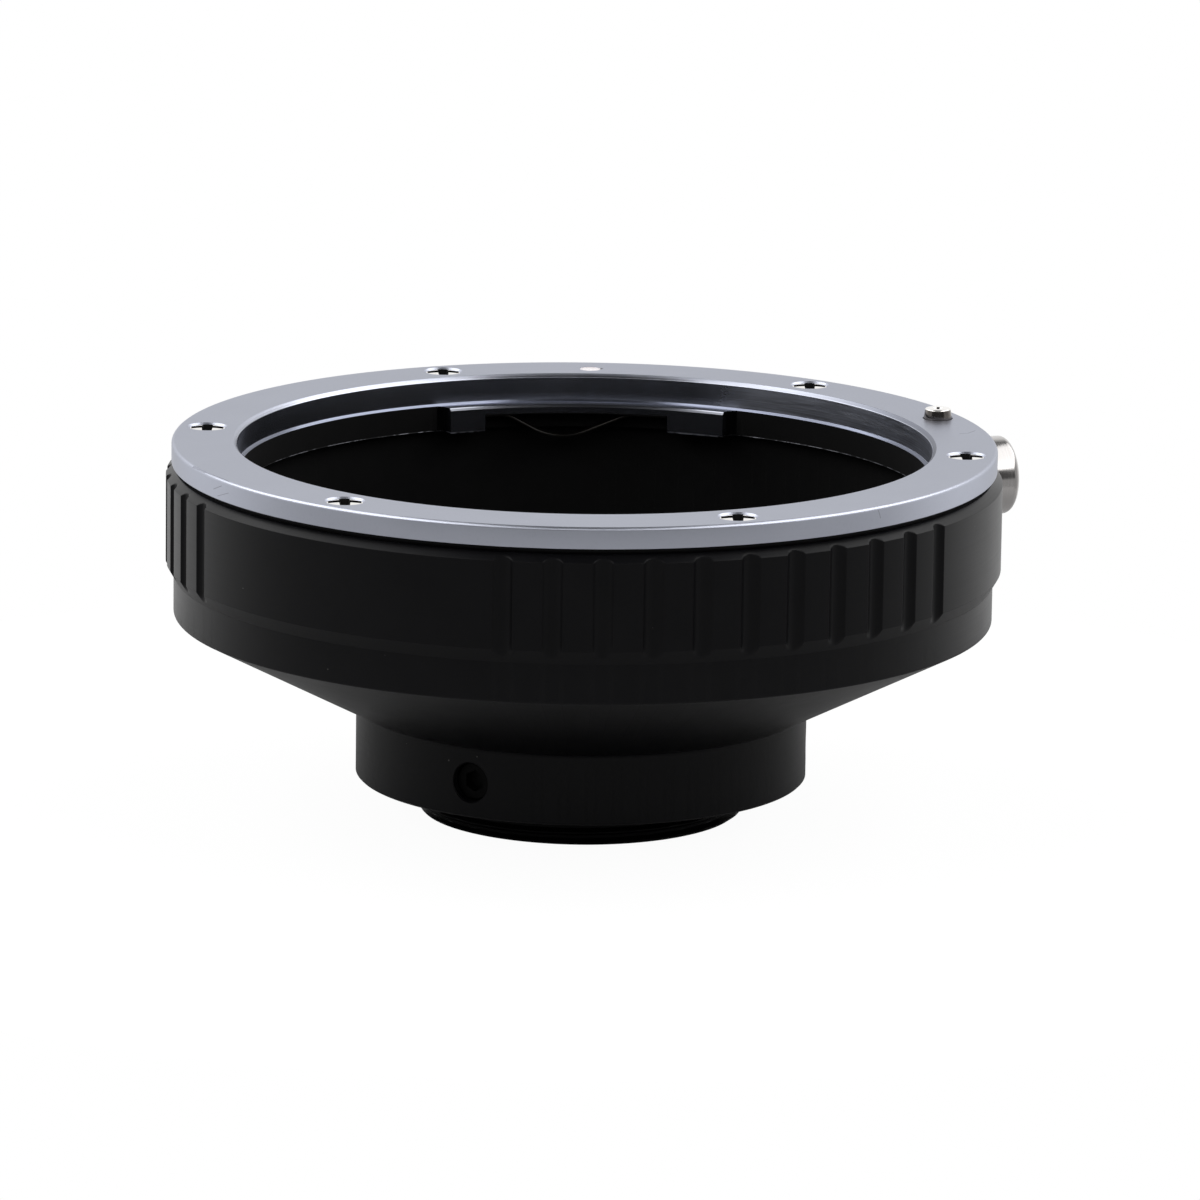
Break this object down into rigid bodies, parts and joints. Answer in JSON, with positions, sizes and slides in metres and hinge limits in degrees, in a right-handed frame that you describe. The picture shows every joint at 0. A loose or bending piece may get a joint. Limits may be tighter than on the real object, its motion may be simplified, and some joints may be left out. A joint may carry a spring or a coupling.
{
  "type": "lens mount adapter",
  "caption": "Lens mount adapter: chromed bayonet flange with sprung lugs, lock pin and release knob on a black fluted funnel body that narrows to a male camera thread.",
  "frame": {"origin": "on the optical axis, in the plane of the camera shoulder, where the male thread starts", "axes": "+Z along the optical axis from the camera thread to the lens flange, +Y from the axis to the index dot"},
  "size_m": [0.0667, 0.065, 0.0301],
  "materials": {
    "black_anodised": "satin black anodised aluminium",
    "black_ring": "black anodised aluminium, turned",
    "satin_chrome": "satin chrome plate on brass",
    "bright_nickel": "bright nickel plate",
    "spring_steel": "dull spring steel",
    "blackened_steel": "blackened steel",
    "index_paint": "pale pink index paint"
  },
  "bodies": {
    "housing": {"main_body": "black_anodised", "bayonet_flange": "satin_chrome", "flange_screws": "bright_nickel", "index_dot": "index_paint", "leaf_spring_1": "spring_steel", "leaf_spring_2": "spring_steel", "leaf_spring_3": "spring_steel", "lock_spring": "spring_steel", "thread_ring": "black_ring", "set_screws": "blackened_steel"},
    "lock": {"lock_pin": "bright_nickel", "release_knob": "bright_nickel"}
  },
  "joints": [
    {"name": "lock_slide", "type": "slide", "parent": "housing", "child": "lock", "axis": [0, 0, -1], "range_m": [0, 0.0012], "stiffness_N_per_m": 400, "springref_m": -0.0012, "deforming": ["lock_spring"]}
  ]
}
